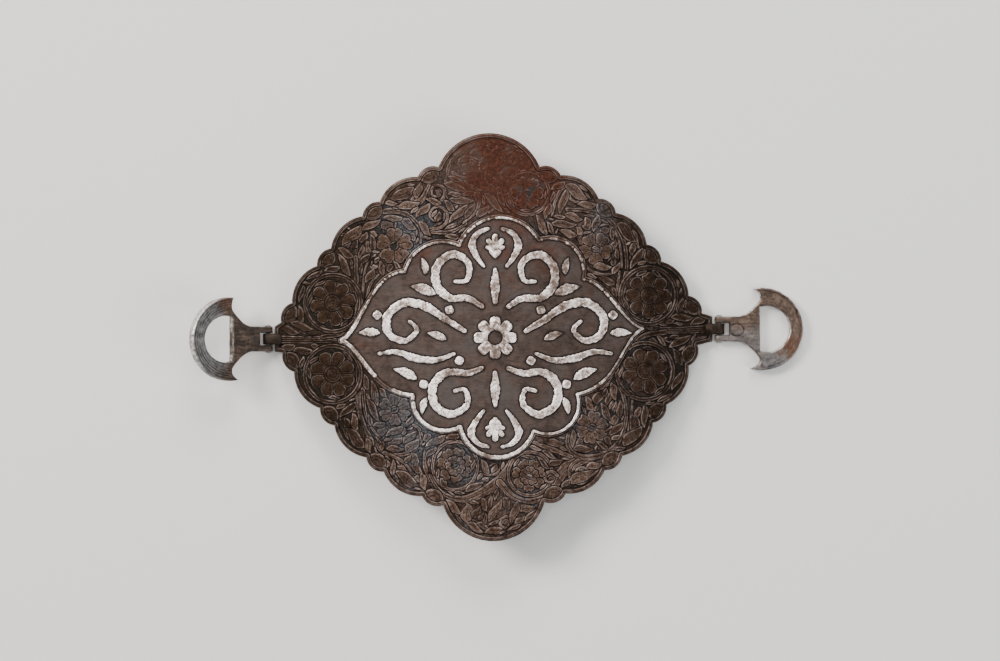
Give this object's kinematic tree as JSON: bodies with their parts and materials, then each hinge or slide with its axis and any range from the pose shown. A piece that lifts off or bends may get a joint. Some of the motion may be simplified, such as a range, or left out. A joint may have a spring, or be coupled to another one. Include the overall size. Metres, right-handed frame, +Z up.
{
  "type": "forearm guard plate",
  "caption": "Curved steel forearm guard, a lobed plate with floral relief and a silver-overlaid panel, with a hinged strap loop at each end",
  "frame": {"origin": "middle of the whole object's box in the plan, at the level that it stands on", "axes": "+X along the arm guard from the left strap loop to the right one, +Y across it towards the plain upper lobe, +Z up out of its outer face"},
  "size_m": [0.1992, 0.1312, 0.0177],
  "materials": {
    "steel": "carved and chiselled steel with a brown patina, dark ground and rust at the upper lobe",
    "loop_steel": "forged steel, worn bright along the edges, with orange-brown rust",
    "silver": "silver overlay, worn and pitted, slightly pink"
  },
  "bodies": {
    "plate_body": {"plate": "steel", "centre_rosette": "silver", "crown_vine_left": "silver", "crown_vine_right": "silver", "heel_dot_left": "silver", "heel_dot_right": "silver", "heel_leaf_left": "silver", "heel_leaf_right": "silver", "heel_vine_left": "silver", "heel_vine_right": "silver", "inner_leaf_left": "silver", "inner_leaf_right": "silver", "lower_bud_left": "silver", "lower_bud_right": "silver", "lower_dot_left": "silver", "lower_dot_right": "silver", "lower_palmette": "silver", "lower_stem": "silver", "lower_vine_left": "silver", "lower_vine_right": "silver", "medallion_rim": "silver", "root_vine_left": "silver", "root_vine_right": "silver", "side_dot_left": "silver", "side_dot_right": "silver", "side_vine_left": "silver", "side_vine_right": "silver", "tip_leaf_left": "silver", "tip_leaf_right": "silver", "upper_bud_left": "silver", "upper_bud_right": "silver", "upper_dot_left": "silver", "upper_dot_right": "silver", "upper_leaf_left": "silver", "upper_leaf_right": "silver", "upper_palmette": "silver", "upper_stem": "silver", "upper_vine_left": "silver", "upper_vine_right": "silver"},
    "left_loop_body": {"left_loop": "loop_steel", "left_pin": "loop_steel"},
    "right_loop_body": {"right_loop": "loop_steel", "right_pin": "loop_steel"}
  },
  "joints": [
    {"name": "left_hinge", "type": "hinge", "parent": "plate_body", "child": "left_loop_body", "pos_m": [-0.07579, -0.0005, 0.0017], "axis": [0, 1, 0], "range_deg": [-113, 62]},
    {"name": "right_hinge", "type": "hinge", "parent": "plate_body", "child": "right_loop_body", "pos_m": [0.07211, 0.0028, 0.0017], "axis": [0, -1, 0], "range_deg": [-80, 95]}
  ]
}
